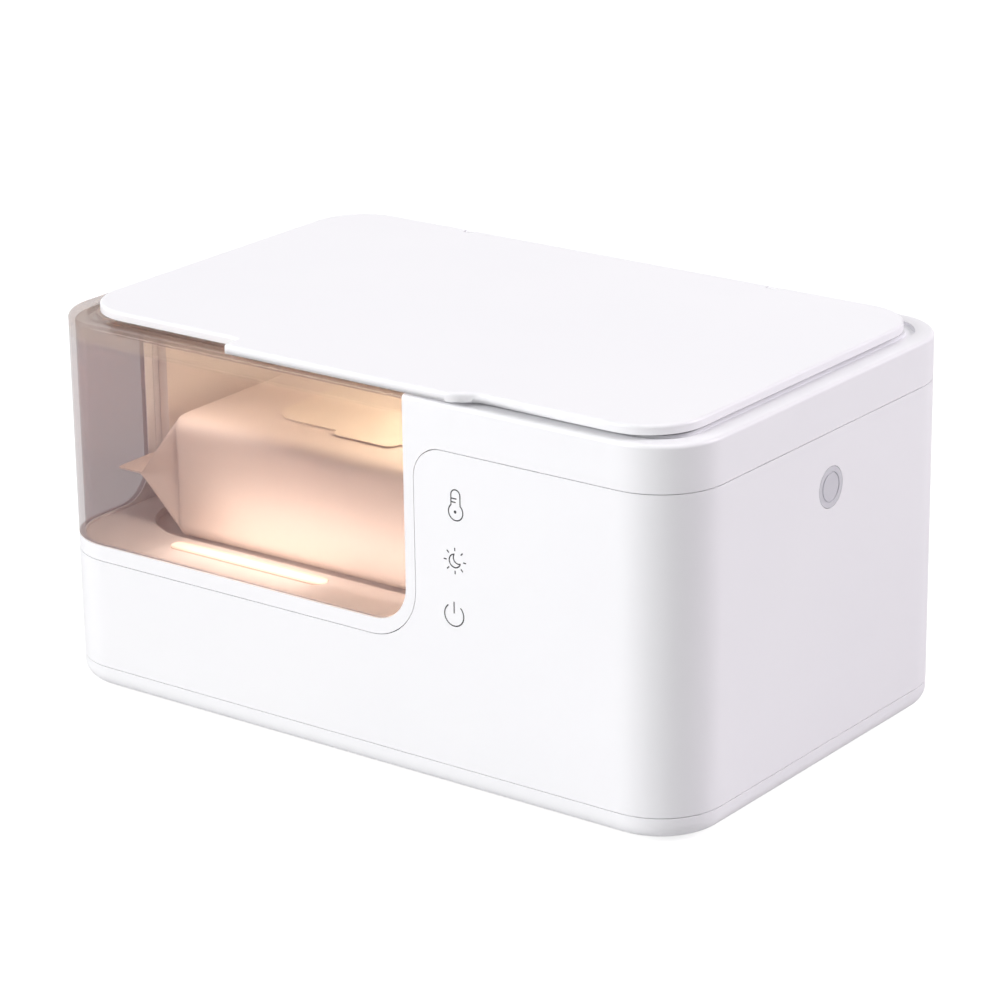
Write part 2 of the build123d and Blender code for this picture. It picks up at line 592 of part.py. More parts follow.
def make_board_components():
    low_z = BASE_FLOOR_Z + STANDOFF_HEIGHT + BOARD_THICKNESS
    pieces = []
    for x, y, length, depth, height in (TRANSFORMER, RELAY, CONTROLLER, CONNECTOR):
        place = Pos(MAIN_BOARD_X + x, MAIN_BOARD_Y + y, low_z)
        pieces.append(place * Box(length, depth, height, align=LOW_ALIGN))
    for number in range(CAPACITOR_COUNT):
        x = MAIN_BOARD_X + CAPACITOR_X + number * CAPACITOR_PITCH
        pieces.append(upright(CAPACITOR_RADIUS, x, MAIN_BOARD_Y + CAPACITOR_Y, low_z, low_z + CAPACITOR_HEIGHT))
    return Compound(pieces)


def make_power_jack():
    inner_y = HALF_DEPTH - WALL - FIT_GAP
    half = INLET_BODY_WIDTH / 2
    half_height = INLET_BODY_HEIGHT / 2
    jack = block(INLET_X - half, INLET_X + half, inner_y - INLET_BODY_DEPTH, inner_y,
                 INLET_Z - half_height, INLET_Z + half_height)
    jack += along_y(INLET_RADIUS, INLET_X, INLET_Z, inner_y, HALF_DEPTH)
    jack -= along_y(INLET_BORE_RADIUS, INLET_X, INLET_Z, HALF_DEPTH - INLET_BORE_DEPTH, HALF_DEPTH)
    pin_tip = HALF_DEPTH - WALL / 2
    jack += along_y(INLET_PIN_RADIUS, INLET_X, INLET_Z, HALF_DEPTH - INLET_BORE_DEPTH - WALL, pin_tip)
    return jack


# ---------------------------------------------------------------- lid
def lid_rectangle(left_x, front_y, inset=0.0):
    length = LID_RIGHT_X - left_x - 2 * inset
    depth = LID_REAR_Y - front_y - 2 * inset
    middle_x = (LID_RIGHT_X + left_x) / 2
    middle_y = (LID_REAR_Y + front_y) / 2
    return Pos(middle_x, middle_y) * RectangleRounded(length, depth, LID_CORNER - 2 * inset)


def lid_outline(inset=0.0):
    """The outline without the grip tab, its front edge where it runs left of the tab."""
    return lid_rectangle(LID_LEFT_X, LID_LEFT_FRONT_Y, inset)


def tab_outline():
    """The grip tab: square at its left end, an easy S-bend back to the lid at its right end."""
    back_y = LID_FRONT_Y + LID_RIM
    blend_x = TAB_RIGHT_X + TAB_BLEND_LENGTH
    start = (TAB_LEFT_X, back_y)
    corner = (TAB_LEFT_X, TAB_FRONT_Y)
    bend_start = (TAB_RIGHT_X, TAB_FRONT_Y)
    bend_end = (blend_x, LID_FRONT_Y)
    straight = Polyline(start, corner, bend_start)
    bend = Spline(bend_start, bend_end, tangents=((1, 0), (1, 0)))
    close = Polyline(bend_end, (blend_x, back_y), start)
    return make_face(straight + bend + close)


def make_lid_cover():
    outline = lid_outline() + lid_rectangle(TAB_LEFT_X, LID_FRONT_Y) + tab_outline()
    for side_y in (TAB_FRONT_Y, LID_LEFT_FRONT_Y):
        outline = round_corner_near(outline, TAB_LEFT_X, side_y, TAB_CORNER)
    lid = Pos(0, 0, LID_BOTTOM_Z) * extrude(outline, amount=LID_THICKNESS)
    lid = fillet(lid.faces().sort_by(Axis.Z)[-1].edges(), LID_EDGE_ROUND)
    pocket_top = LID_TOP_Z - LID_SKIN
    lid -= Pos(0, 0, LID_BOTTOM_Z) * extrude(lid_outline(LID_RIM), amount=pocket_top - LID_BOTTOM_Z)
    for side in (-1, 1):
        half = EAR_WIDTH / 2 + EAR_SIDE_GAP
        front_y = HINGE_Y - LID_THICKNESS / 2 - EAR_SWEEP_GAP
        x = side * HINGE_X
        lid -= block(x - half, x + half, front_y, REACH, LID_BOTTOM_Z, LID_TOP_Z)
        reach = PIN_LENGTH / 2 + EAR_SIDE_GAP
        lid -= along_x(PIN_RADIUS + PIN_RUNNING_GAP, HINGE_Y, HINGE_Z, x - reach, x + reach)
    return lid


def make_lid_liner():
    plate_low = LID_BOTTOM_Z + FIT_GAP
    plate_high = LID_TOP_Z - LID_SKIN - FIT_GAP
    plate = Pos(0, 0, plate_low) * extrude(lid_outline(LID_RIM + FIT_GAP), amount=plate_high - plate_low)
    outer = MOUTH_INSET + PLUG_CLEARANCE
    return plate + body_ring(outer, outer + PLUG_THICKNESS, plate_low - PLUG_DROP, plate_low)


def make_lid_gasket():
    low_z = LID_BOTTOM_Z + FIT_GAP - PLUG_DROP + GASKET_HEIGHT / 2
    outer = MOUTH_INSET + GASKET_CLEARANCE
    inner = MOUTH_INSET + PLUG_CLEARANCE - FIT_GAP / 2
    return body_ring(outer, inner, low_z, low_z + GASKET_HEIGHT)


def make_hinge_pins():
    half = PIN_LENGTH / 2
    pins = [along_x(PIN_RADIUS, HINGE_Y, HINGE_Z, side * HINGE_X - half, side * HINGE_X + half)
            for side in (-1, 1)]
    return Compound(pins)


# ---------------------------------------------------------------- small parts
def make_base_screws():
    head_z = FOOT_LIFT + FIT_GAP / 2
    return Compound([screw(x, y, head_z) for x, y in four_corners(POST_X, POST_Y)])


def make_bracket_screws():
    head_z = BRACKET_UNDER_Z - SCREW_HEAD_HEIGHT
    length = LEDGE_UNDER_Z - FIT_GAP - head_z
    screws = []
    for x, y in four_corners(BRACKET_SCREW_X, BRACKET_SCREW_Y):
        whole = screw(x, y, head_z)
        screws.append(whole & upright(SCREW_HEAD_RADIUS, x, y, head_z, head_z + length))
    return Compound(screws)


def make_feet():
    feet = []
    for x, y in four_corners(FOOT_X, FOOT_Y):
        foot = upright(FOOT_RADIUS, x, y, 0, FOOT_LIFT)
        foot = chamfer(foot.faces().sort_by(Axis.Z)[0].edges(), FOOT_EDGE)
        feet.append(foot + upright(FOOT_PLUG_RADIUS, x, y, FOOT_LIFT, FOOT_LIFT + FOOT_PLUG_HEIGHT))
    return Compound(feet)


def make_thermostat():
    high_z = PAD_TOP_Z - FIT_GAP
    x = -SENSOR_WELL_X
    can = upright(THERMOSTAT_RADIUS, x, 0, high_z - THERMOSTAT_HEIGHT, high_z)
    for side in (-1, 1):
        lug_y = side * THERMOSTAT_RADIUS / 2
        half_width = THERMOSTAT_LUG_WIDTH / 2
        half_lug = THERMOSTAT_LUG_THICKNESS / 2
        can += block(x - half_width, x + half_width, lug_y - half_lug, lug_y + half_lug,
                     high_z - THERMOSTAT_HEIGHT * 2, high_z - THERMOSTAT_HEIGHT / 2)
    return can


def make_thermistor():
    high_z = PAD_TOP_Z - FIT_GAP
    return upright(THERMISTOR_RADIUS, SENSOR_WELL_X, 0, high_z - THERMISTOR_HEIGHT, high_z)


def make_side_insert():
    outer_x = HALF_LENGTH
    insert = along_x(INSERT_RADIUS, INSERT_Y, INSERT_Z, outer_x - INSERT_THICKNESS, outer_x)
    groove_low = outer_x - INSERT_GROOVE_DEPTH
    groove = along_x(INSERT_GROOVE_RADIUS, INSERT_Y, INSERT_Z, groove_low, outer_x)
    groove -= along_x(INSERT_GROOVE_RADIUS - INSERT_GROOVE_WIDTH, INSERT_Y, INSERT_Z, groove_low, outer_x)
    return insert - groove


# ---------------------------------------------------------------- pack of wipes
def make_wipe_pack():
    """A soft block with a gusset and a flat crimped fin at each end."""
    middle_z = (PACK_BOTTOM_Z + PACK_TOP_Z) / 2
    half_height = PACK_HEIGHT / 2
    half_fin = PACK_FIN_THICKNESS / 2
    half_box = (PACK_RIGHT_X - PACK_LEFT_X) / 2
    gusset = half_box + PACK_GUSSET_LENGTH
    tip = gusset + PACK_FIN_LENGTH
    top_line = [(-tip, half_fin), (-gusset, half_fin), (-half_box, half_height),
                (half_box, half_height), (gusset, half_fin), (tip, half_fin)]
    bottom_line = [(x, -z) for x, z in reversed(top_line)]
    side_view = make_face(Polyline(*top_line, *bottom_line, close=True))
    low_y = PACK_Y - PACK_DEPTH / 2
    body = extrude(Plane.XZ.offset(-low_y - PACK_DEPTH) * Pos(PACK_X, middle_z) * side_view, amount=PACK_DEPTH)
    end_view = Plane.YZ.offset(-REACH) * Pos(PACK_Y, middle_z) * RectangleRounded(PACK_DEPTH, PACK_HEIGHT, PACK_ROUND)
    return body & extrude(end_view, amount=2 * REACH)


def make_pack_label():
    low_z = PACK_TOP_Z + FIT_GAP / 2
    x = PACK_X + LABEL_OFFSET_X
    return rounded_slab(LABEL_LENGTH, LABEL_DEPTH, LABEL_CORNER, x, PACK_Y, low_z, low_z + LABEL_THICKNESS)


# ---------------------------------------------------------------- write every piece
def save(name, shape):
    placed = Pos(0, BODY_SHIFT_Y, 0) * shape
    export_step(placed, f"parts/{name}.step")


upper_shell = make_upper_shell()
save("base_cover", make_base_cover())
save("lower_housing", make_lower_housing())
save("upper_frame", make_upper_frame(upper_shell))
save("window", make_window(upper_shell))
save("pan_tray", make_pan_tray())
save("chamber_wall", make_chamber_wall())
save("heating_plate", make_heating_plate())
save("heater_film", make_heater_film())
save("insulation_pad", make_insulation_pad())
save("heater_bracket", make_heater_bracket())
save("bracket_screws", make_bracket_screws())
save("thermostat", make_thermostat())
save("thermistor", make_thermistor())
save("light_diffuser", make_light_diffuser())
save("light_board", make_light_board())
save("light_leds", make_light_leds())
save("touch_board", make_touch_board())
save("touch_springs", make_touch_springs())
save("main_board", make_main_board())
save("board_components", make_board_components())
save("power_jack", make_power_jack())
save("base_screws", make_base_screws())
save("feet", make_feet())
save("side_insert", make_side_insert())
save("lid_cover", make_lid_cover())
save("lid_liner", make_lid_liner())
save("lid_gasket", make_lid_gasket())
save("hinge_pins", make_hinge_pins())
save("wipe_pack", make_wipe_pack())
save("pack_label", make_pack_label())
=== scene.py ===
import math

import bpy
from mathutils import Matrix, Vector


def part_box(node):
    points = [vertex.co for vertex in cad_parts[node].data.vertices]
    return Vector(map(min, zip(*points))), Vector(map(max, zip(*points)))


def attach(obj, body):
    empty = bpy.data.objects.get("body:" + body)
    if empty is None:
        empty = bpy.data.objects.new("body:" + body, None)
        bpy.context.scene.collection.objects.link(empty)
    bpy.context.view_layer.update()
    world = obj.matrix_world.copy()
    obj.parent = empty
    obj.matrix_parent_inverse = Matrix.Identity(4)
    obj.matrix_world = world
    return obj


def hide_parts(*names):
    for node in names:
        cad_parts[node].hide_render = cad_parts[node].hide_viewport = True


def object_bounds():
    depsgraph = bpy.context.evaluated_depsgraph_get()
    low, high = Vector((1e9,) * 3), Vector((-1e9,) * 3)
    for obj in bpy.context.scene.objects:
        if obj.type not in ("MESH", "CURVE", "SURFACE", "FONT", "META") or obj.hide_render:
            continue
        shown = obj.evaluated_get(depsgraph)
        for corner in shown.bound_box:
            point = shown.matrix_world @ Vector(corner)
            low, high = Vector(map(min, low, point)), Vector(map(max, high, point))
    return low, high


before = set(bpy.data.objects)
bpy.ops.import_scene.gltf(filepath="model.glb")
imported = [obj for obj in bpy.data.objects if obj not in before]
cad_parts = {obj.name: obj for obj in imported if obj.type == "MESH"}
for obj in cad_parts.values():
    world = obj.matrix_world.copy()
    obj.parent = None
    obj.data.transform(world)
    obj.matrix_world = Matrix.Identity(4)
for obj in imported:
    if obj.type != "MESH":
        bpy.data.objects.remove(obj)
CAD_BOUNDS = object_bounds()

# %% [markdown]
# # A wipe warmer
# The frame holds every hard piece of the warmer at its real size: shells, window, liner, heater,
# boards and lid. This lesson gives those pieces their finishes, models the soft pack of wipes and
# the printed symbols, and sets up the camera, the floor and the light. Sizes of the object are
# written in millimetres and turned to metres by MM. The room's lamps and floor are set out in
# metres.

MM = 0.001


def mm(*values):
    return Vector([value * MM for value in values])


def select_only(*pieces):
    """Operators act on all that is selected, so everything else is let go first."""
    if bpy.context.object and bpy.context.object.mode != "OBJECT":
        bpy.ops.object.mode_set(mode="OBJECT")
    bpy.ops.object.select_all(action="DESELECT")
    for piece in pieces:
        piece.select_set(True)
    bpy.context.view_layer.objects.active = pieces[0]


def apply_place(piece):
    """Moves the object's place into its mesh, so that the object sits at the origin."""
    select_only(piece)
    bpy.ops.object.transform_apply(location=True, rotation=True, scale=True)


def apply_modifiers(piece):
    select_only(piece)
    for modifier in list(piece.modifiers):
        bpy.ops.object.modifier_apply(modifier=modifier.name)


low, high = CAD_BOUNDS
print("overall size in mm:", [round((high[i] - low[i]) / MM, 1) for i in range(3)])

# %% [markdown]
# ## Camera
# A long lens stands well back from the object, so its edges stay nearly parallel. The camera
# looks down at the front right corner. Its place is a point in millimetres, and its turn is built
# from the direction it looks in, with a small roll about that direction.

# %% Camera
CAMERA_PLACE = mm(804.2, -1068.3, 543.6)
CAMERA_LOOK = Vector((-0.56678, 0.75442, -0.33107)).normalized()
CAMERA_ROLL = math.radians(-0.774)
LENS_MM = 137.55
SENSOR_MM = 36.0


def camera_turn(look, roll):
    """The turn of a camera that looks this way, rolled about the direction it looks in."""
    side = look.cross(Vector((0, 0, 1))).normalized()
    up = side.cross(look)
    rolled_side = side * math.cos(roll) + up * math.sin(roll)
    rolled_up = up * math.cos(roll) - side * math.sin(roll)
    return Matrix((rolled_side, rolled_up, -look)).transposed().to_4x4()


camera_data = bpy.data.cameras.new("camera")
camera_data.lens = LENS_MM
camera_data.sensor_width = SENSOR_MM
camera = bpy.data.objects.new("camera", camera_data)
camera.matrix_world = Matrix.Translation(CAMERA_PLACE) @ camera_turn(CAMERA_LOOK, CAMERA_ROLL)
bpy.context.scene.collection.objects.link(camera)
bpy.context.scene.camera = camera
bpy.context.scene.view_settings.view_transform = "Standard"
print("camera stands", round(CAMERA_PLACE.length, 2), "m from the origin")

# %% [markdown]
# ## Colours and nodes
# Colours are written as sRGB hex values, as on a paint card, and the shader needs them linear.
# One small function adds a node with its settings, its values and its links, so that each
# material below reads as a short list of what is joined to what.

# %% Colours and nodes
SRGB_KNEE = 0.04045
SRGB_SLOPE = 12.92
SRGB_OFFSET = 0.055
SRGB_POWER = 2.4


def linear(hex_colour):
    """An sRGB hex value as a linear RGBA colour."""
    channels = [int(hex_colour[i:i + 2], 16) / 255 for i in (1, 3, 5)]
    return [c / SRGB_SLOPE if c <= SRGB_KNEE
            else ((c + SRGB_OFFSET) / (1 + SRGB_OFFSET)) ** SRGB_POWER for c in channels] + [1.0]


def add_node(tree, kind, settings=None, values=None, links=None):
    """A new node, with its own settings, the values of its sockets and what is linked into them."""
    node = tree.nodes.new(kind)
    for name, value in (settings or {}).items():
        setattr(node, name, value)
    for socket, value in (values or {}).items():
        node.inputs[socket].default_value = value
    for socket, source in (links or {}).items():
        tree.links.new(source, node.inputs[socket])
    return node


def new_material(name):
    """An empty material and its node tree."""
    material = bpy.data.materials.new(name)
    material.use_nodes = True
    material.node_tree.nodes.clear()
    return material, material.node_tree


def per_mm(size):
    """A noise scale for features of this size in millimetres."""
    return 1.0 / (size * MM)


def drifting(tree, position, size_mm, detail, colour, deep_colour):
    """A slow noise and a colour that drifts with it between two near colours."""
    cloud = add_node(tree, "ShaderNodeTexNoise",
                     values={"Scale": per_mm(size_mm), "Detail": detail},
                     links={"Vector": position})
    tint = add_node(tree, "ShaderNodeMix", {"data_type": "RGBA"},
                    {"A": linear(colour), "B": linear(deep_colour)},
                    {"Factor": cloud.outputs["Fac"]})
    return cloud.outputs["Fac"], tint.outputs["Result"]


print("mid grey #808080 is", round(linear("#808080")[0], 3), "as a linear value")

# %% [markdown]
# ## The moulded finish
# Most pieces are injection moulded. The steel mould leaves a very fine spark-eroded grain in the
# plastic, and the colour drifts a little over a wall as the plastic cools. Two noises do both: a
# fine one for the grain in the bump, and a slow one, many millimetres wide, that moves the colour
# and the gloss slightly. A real grain is under a tenth of a millimetre, too fine to show, so it
# is drawn several times coarser. One recipe serves every moulded, cast or rolled surface, with
# its own colours and grain size.

# %% Moulded finish
CLOUD_MM = 60.0
CLOUD_DETAIL = 3.0
GRAIN_DETAIL = 2.0
GRAIN_STRENGTH = 0.35
GLOSS_DRIFT = 0.12


def grained(name, colour, deep_colour, grain_mm, depth_mm, roughness, metallic=0.0):
    """A surface with a fine grain, and a slow drift between two near colours."""
    material, tree = new_material(name)
    place = add_node(tree, "ShaderNodeTexCoord").outputs["Object"]
    cloud, tint = drifting(tree, place, CLOUD_MM, CLOUD_DETAIL, colour, deep_colour)
    grain = add_node(tree, "ShaderNodeTexNoise",
                     values={"Scale": per_mm(grain_mm), "Detail": GRAIN_DETAIL},
                     links={"Vector": place})
    gloss = add_node(tree, "ShaderNodeMapRange",
                     values={"To Min": roughness * (1 - GLOSS_DRIFT),
                             "To Max": roughness * (1 + GLOSS_DRIFT)},
                     links={"Value": cloud})
    bump = add_node(tree, "ShaderNodeBump",
                    values={"Strength": GRAIN_STRENGTH, "Distance": depth_mm * MM},
                    links={"Height": grain.outputs["Fac"]})
    shader = add_node(tree, "ShaderNodeBsdfPrincipled", values={"Metallic": metallic},
                      links={"Base Color": tint, "Roughness": gloss.outputs["Result"],
                             "Normal": bump.outputs["Normal"]})
    add_node(tree, "ShaderNodeOutputMaterial", links={"Surface": shader.outputs["BSDF"]})
    return material


# white ABS with a satin gloss: bright, with a broad soft highlight
WHITE_ABS = grained("white_abs_moulded", "#FBFBFD", "#F7F7FA", 0.5, 0.01, 0.34)
# warm white polypropylene: softer and more matt, as inside a food tub
LINER_PP = grained("warm_white_polypropylene", "#F5EDE8", "#F0E6E0", 0.8, 0.02, 0.5)
LID_PP = grained("white_polypropylene", "#EEEBEA", "#E6E2E1", 0.8, 0.02, 0.5)
# moulded silicone rubber: dull, with hardly any highlight
GREY_RUBBER = grained("grey_silicone_rubber", "#8F8F93", "#86868A", 0.6, 0.03, 0.75)
PALE_SILICONE = grained("pale_silicone", "#DEDAD6", "#D5D1CD", 0.6, 0.02, 0.6)
# light grey ABS: a shade darker than the casing, and a little less glossy
GREY_ABS = grained("light_grey_abs", "#DADADF", "#D2D2D8", 0.5, 0.01, 0.4)
# rolled aluminium and zinc plating: a soft metal sheen, the zinc a little bluer
ALUMINIUM = grained("rolled_aluminium", "#C9CBCD", "#BFC1C4", 1.2, 0.01, 0.38, metallic=1.0)
ZINC_STEEL = grained("zinc_plated_steel", "#B9BCC0", "#A9ADB3", 1.0, 0.01, 0.32, metallic=1.0)
# polyimide film: amber and smooth, with a clear highlight
POLYIMIDE = grained("amber_polyimide_film", "#B9752A", "#A6641F", 1.0, 0.01, 0.3)
# closed-cell foam: coarse bubbles under a thin skin, and almost no highlight
FOAM = grained("closed_cell_foam", "#8E8E93", "#7F7F85", 1.5, 0.3, 0.95)
# solder mask on a circuit board: deep green and fairly glossy
BOARD_GREEN = grained("solder_mask_board", "#1E5B38", "#184C2E", 0.4, 0.01, 0.35)
# black PBT, the plastic of sockets and plugs: dark and half matt
BLACK_PBT = grained("black_pbt", "#1B1B1E", "#141416", 0.6, 0.02, 0.45)
print("grained finishes made:", len(bpy.data.materials))

# %% [markdown]
# ## Smoked window
# The window is clear plastic with a light smoke tint, thin walled and polished. True refraction
# would need very many samples to light the chamber behind it. The shader therefore lets most
# light straight through by its alpha, and keeps a polished, tinted surface for the rest. A second
# finish, for the thick rim at its top, lets less light through and is warmer.

# %% Smoked window
WINDOW_SEE_THROUGH = 0.645
RIM_SEE_THROUGH = 0.56
TINT_CLOUD_MM = 90
TINT_DETAIL = 2.0
POLISHED = 0.08
ACRYLIC_IOR = 1.49


def smoked(name, colour, deep_colour, see_through):
    """Clear tinted plastic that lets this share of the light straight through."""
    material, tree = new_material(name)
    place = add_node(tree, "ShaderNodeTexCoord").outputs["Object"]
    _, tint = drifting(tree, place, TINT_CLOUD_MM, TINT_DETAIL, colour, deep_colour)
    shader = add_node(tree, "ShaderNodeBsdfPrincipled",
                      values={"Roughness": POLISHED, "IOR": ACRYLIC_IOR, "Alpha": 1 - see_through},
                      links={"Base Color": tint})
    add_node(tree, "ShaderNodeOutputMaterial", links={"Surface": shader.outputs["BSDF"]})
    return material


# polished acrylic: sharp reflections over a dimmed view of the chamber
SMOKED = smoked("smoked_clear_plastic", "#7A5C5E", "#705355", WINDOW_SEE_THROUGH)
SMOKED_RIM = smoked("smoked_thick_rim", "#A58C80", "#9A8176", RIM_SEE_THROUGH)
print("window lets", WINDOW_SEE_THROUGH, "of the light through, and its rim", RIM_SEE_THROUGH)

# %% [markdown]
# ## Light bar
# An opal polycarbonate bar sits in the ledge, over six LEDs. It glows a little warm, and fades
# towards its long edges. The milky plastic blurs the LEDs into one band, so the fade needs no
# picture of them: it follows only the distance from the bar's middle line.

# %% Light bar
GLOW_COLOUR = "#FFE6D2"
BAR_Y_MM = -70.5
BAR_HALF_MM = 4.0
BAR_CORE_MM = 1.2
OPAL_ROUGHNESS = 0.5
BAR_GLOW_EDGE = 0.2
BAR_GLOW_CORE = 1.3
LED_GLOW_LEVEL = 4.0


def glowing(name, colour, edge_strength, core_strength):
    """Brightest along the middle line, where the LEDs are, and dimmer towards the long edges."""
    material, tree = new_material(name)
    place = add_node(tree, "ShaderNodeTexCoord")
    apart = add_node(tree, "ShaderNodeSeparateXYZ", links={"Vector": place.outputs["Object"]})
    across = add_node(tree, "ShaderNodeMath", {"operation": "SUBTRACT"},
                      {1: BAR_Y_MM * MM}, {0: apart.outputs["Y"]})
    away = add_node(tree, "ShaderNodeMath", {"operation": "ABSOLUTE"},
                    links={0: across.outputs["Value"]})
    fade = add_node(tree, "ShaderNodeMapRange", {"interpolation_type": "SMOOTHSTEP"},
                    {"From Min": BAR_CORE_MM * MM, "From Max": BAR_HALF_MM * MM,
                     "To Min": core_strength, "To Max": edge_strength},
                    {"Value": away.outputs["Value"]})
    shader = add_node(tree, "ShaderNodeBsdfPrincipled",
                      values={"Base Color": linear(colour), "Roughness": OPAL_ROUGHNESS,
                              "Emission Color": linear(colour)},
                      links={"Emission Strength": fade.outputs["Result"]})
    add_node(tree, "ShaderNodeOutputMaterial", links={"Surface": shader.outputs["BSDF"]})
    return material


# opal polycarbonate: milky and half matt, lit from below
OPAL_GLOW = glowing("opal_polycarbonate_lit", GLOW_COLOUR, BAR_GLOW_EDGE, BAR_GLOW_CORE)
# LED phosphor: the same warm white, three times as bright
LED_GLOW = glowing("led_phosphor", GLOW_COLOUR, LED_GLOW_LEVEL, LED_GLOW_LEVEL)
print("light bar glows", BAR_GLOW_CORE, "in the middle and", BAR_GLOW_EDGE, "at its edges")

# %% [markdown]
# ## Smooth shells from the frame
# A frame node is loose triangles with flat sides, which shows on a round corner. Each visible
# shell is copied and its doubled points are merged. Flat triangles are dissolved into whole
# faces, the sharp edges get the small radius that a mould leaves, and the copy is shaded smooth,
# with normals weighted by area so that flat walls stay flat. The lid's plate keeps its triangles
# and its edges, which the frame already rounds. The copy stands for the node and rides on the
# node's body.

# %% Smooth shells
MERGE_MM = 0.002
FLAT_ANGLE = math.radians(0.4)
SMOOTH_ANGLE = math.radians(32)
EDGE_ANGLE = math.radians(50)
EDGE_SEGMENTS = 2
FULL_WEIGHT = 100


def moulded_copy(node_name, piece_name, material, edge_mm=0.0, body="body",
                 merge_flats=True):
    """A clean, softly edged copy of a frame node that takes the node's place."""
    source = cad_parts[node_name]
    piece = bpy.data.objects.new(piece_name, source.data.copy())
    bpy.context.scene.collection.objects.link(piece)
    select_only(piece)
    bpy.ops.object.mode_set(mode="EDIT")
    bpy.ops.mesh.select_all(action="SELECT")
    bpy.ops.mesh.remove_doubles(threshold=MERGE_MM * MM)
    if merge_flats:
        bpy.ops.mesh.dissolve_limited(angle_limit=FLAT_ANGLE)
    bpy.ops.object.mode_set(mode="OBJECT")
    if edge_mm:
        edge = piece.modifiers.new("mould_radius", "BEVEL")
        edge.width = edge_mm * MM
        edge.segments = EDGE_SEGMENTS
        edge.limit_method = "ANGLE"
        edge.angle_limit = EDGE_ANGLE
        edge.use_clamp_overlap = True
        edge.harden_normals = False
        apply_modifiers(piece)
    bpy.ops.object.shade_smooth_by_angle(angle=SMOOTH_ANGLE)
    even = piece.modifiers.new("flat_sides_stay_flat", "WEIGHTED_NORMAL")
    even.keep_sharp = True
    even.weight = FULL_WEIGHT
    apply_modifiers(piece)
    piece.data.materials.clear()
    piece.data.materials.append(material)
    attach(piece, body)
    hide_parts(node_name)
    print(piece_name, "has", len(piece.data.polygons), "faces")
    return piece


moulded_copy("base_cover", "base_shell", WHITE_ABS, 0.15)
moulded_copy("lower_housing", "lower_shell", WHITE_ABS, 0.2)
moulded_copy("upper_frame", "upper_shell", WHITE_ABS, 0.2)
corner_window = moulded_copy("window", "corner_window", SMOKED, 0.25)
moulded_copy("pan_tray", "ledge_and_pan", LINER_PP, 0.3)
moulded_copy("chamber_wall", "inner_wall", LINER_PP, 0.3)
moulded_copy("lid_cover", "lid_plate", WHITE_ABS, body="lid", merge_flats=False)
moulded_copy("lid_liner", "lid_plug", LID_PP, 0.2, body="lid")
moulded_copy("light_diffuser", "light_bar", OPAL_GLOW)
moulded_copy("side_insert", "round_insert", GREY_ABS, 0.08)

# %% [markdown]
# ## The window's rim
# The window's wall thickens into the rim of the mouth, which looks paler and warmer than the wall
# below it. The rim could be a piece of its own, but on the object it is one with the window. So a
# plane cuts the window's faces level all round, and those above the cut take the rim's material.

# %% Window rim
RIM_LOW = 137.0 * MM
corner_window.data.materials.append(SMOKED_RIM)
select_only(corner_window)
bpy.ops.object.mode_set(mode="EDIT")
bpy.ops.mesh.select_all(action="SELECT")
bpy.ops.mesh.bisect(plane_co=(0.0, 0.0, RIM_LOW), plane_no=(0.0, 0.0, 1.0))
bpy.ops.object.mode_set(mode="OBJECT")
for face in corner_window.data.polygons:
    face.material_index = 1 if face.center.z > RIM_LOW else 0
rim_faces = sum(face.material_index for face in corner_window.data.polygons)
print("the rim takes", rim_faces, "of", len(corner_window.data.polygons), "faces")

# %% [markdown]
# ## Finishes for the other nodes
# These pieces are inside the shells or small, so the frame's flat-sided mesh is good enough and
# only their material changes. Each name below is joined to what the real piece is made of.

# %% Other finishes
NODE_FINISHES = {
    "heating_plate": ALUMINIUM, "thermostat": ALUMINIUM, "heater_film": POLYIMIDE,
    "insulation_pad": FOAM, "heater_bracket": ZINC_STEEL, "bracket_screws": ZINC_STEEL,
    "base_screws": ZINC_STEEL, "touch_springs": ZINC_STEEL, "hinge_pins": ZINC_STEEL,
    "thermistor": BLACK_PBT, "board_components": BLACK_PBT, "power_jack": BLACK_PBT,
    "light_board": BOARD_GREEN, "touch_board": BOARD_GREEN, "main_board": BOARD_GREEN,
    "light_leds": LED_GLOW, "feet": GREY_RUBBER, "lid_gasket": PALE_SILICONE,
}
for node_name, material in NODE_FINISHES.items():
    node_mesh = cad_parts[node_name].data
    node_mesh.materials.clear()
    node_mesh.materials.append(material)
print("frame nodes refinished:", len(NODE_FINISHES))

# %% [markdown]
# ## Wipes pack: the film
# The pack is printed laminate film, left plain here, pulled tight over a stack of wet wipes. It
# is a thin plastic film, so it shines softly and shows faint ripples. An image could hold them,
# but a noise needs no file and never repeats. Ripples run mostly along the pack, so the noise is
# stretched that way by a Mapping node.

# %% Pack film
RIPPLE_MM = 14
RIPPLE_STRETCH = 0.25
RIPPLE_DETAIL = 3.0
RIPPLE_DEPTH_MM = 0.6
RIPPLE_STRENGTH = 0.5
FILM_GRAIN_MM = 0.6
FILM_GRAIN_DEPTH_MM = 0.02
FILM_GRAIN_STRENGTH = 0.2
FILM_IOR = 1.5


